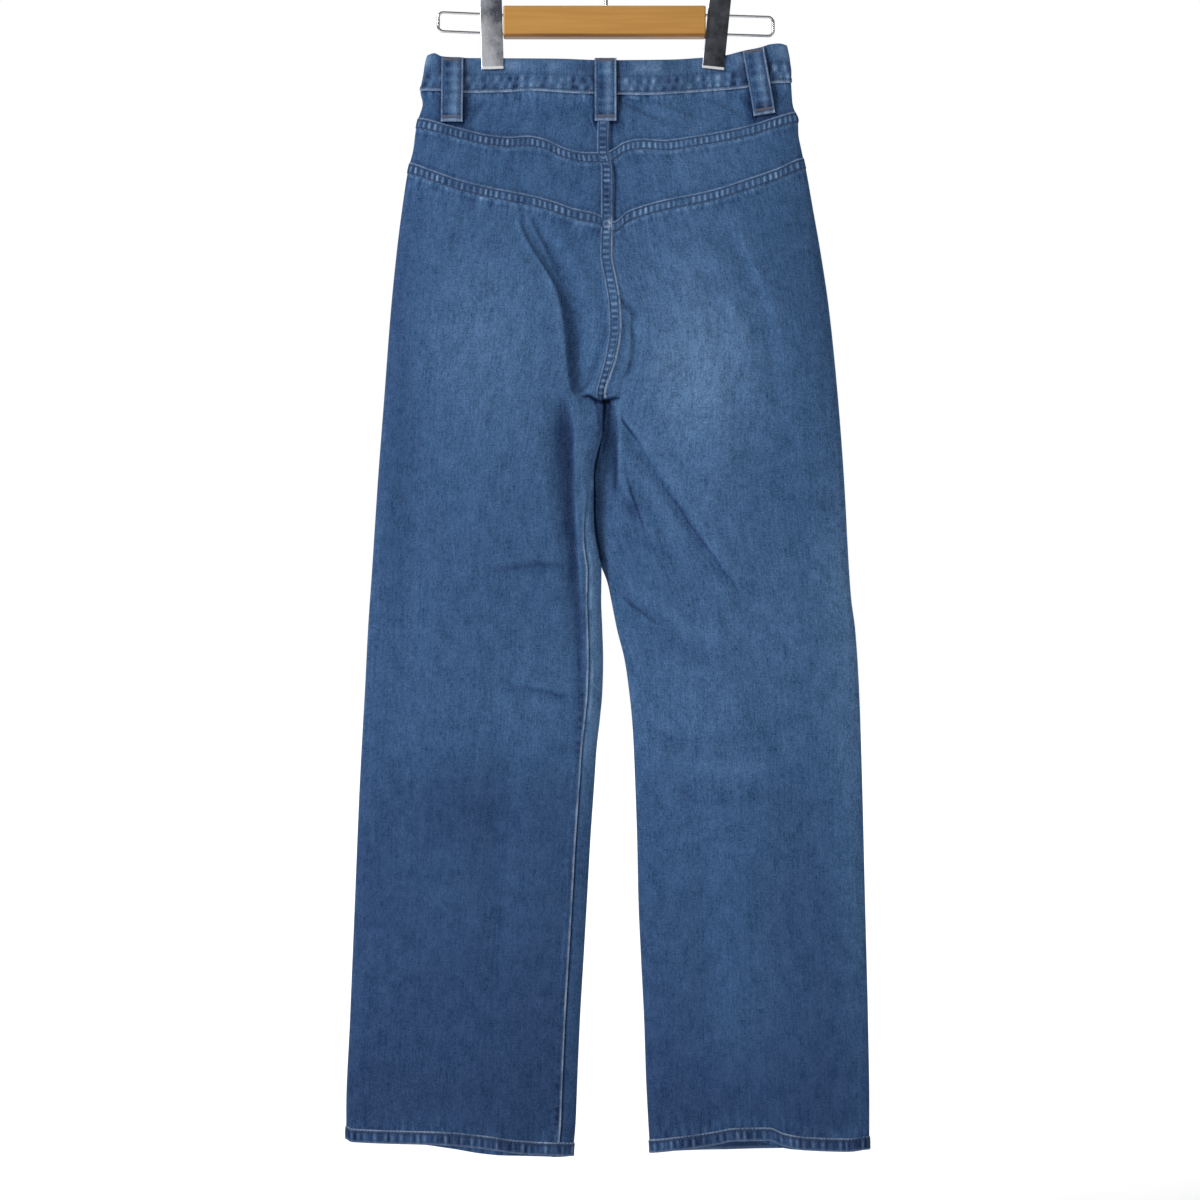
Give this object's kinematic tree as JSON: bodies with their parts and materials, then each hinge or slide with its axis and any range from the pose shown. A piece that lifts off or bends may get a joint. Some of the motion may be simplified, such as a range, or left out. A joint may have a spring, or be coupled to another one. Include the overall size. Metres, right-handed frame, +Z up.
{
  "type": "straight-leg jeans on a clip hanger",
  "caption": "High-rise straight-leg denim jeans hanging by the waistband from a trouser hanger with metal clips and a wooden bar.",
  "frame": {"origin": "inside of the hanger's hook, where it bears on a rail", "axes": "+Z up, the jeans hanging down along -Z; their back faces -Y and their front +Y; the wearer's left is -X"},
  "size_m": [0.5031, 0.042, 1.1924],
  "materials": {
    "denim": "washed mid-blue cotton denim",
    "wood": "clear varnish",
    "metal": "polished"
  },
  "bodies": {
    "root": {"back_left": "denim", "back_right": "denim", "front_left": "denim", "front_right": "denim", "yoke_upper_left": "denim", "yoke_upper_right": "denim", "yoke_lower_left": "denim", "yoke_lower_right": "denim", "waistband": "denim", "fly_flap": "denim", "belt_loop_centre": "denim", "belt_loop_back_left": "denim", "belt_loop_back_right": "denim", "belt_loop_front_left": "denim", "belt_loop_front_right": "denim", "hanger_bar": "wood", "waist_button": "metal", "hanger_hook": "metal", "hanger_rail_left": "metal", "hanger_rail_right": "metal", "hanger_clip_left": "metal", "hanger_clip_right": "metal"}
  },
  "joints": []
}
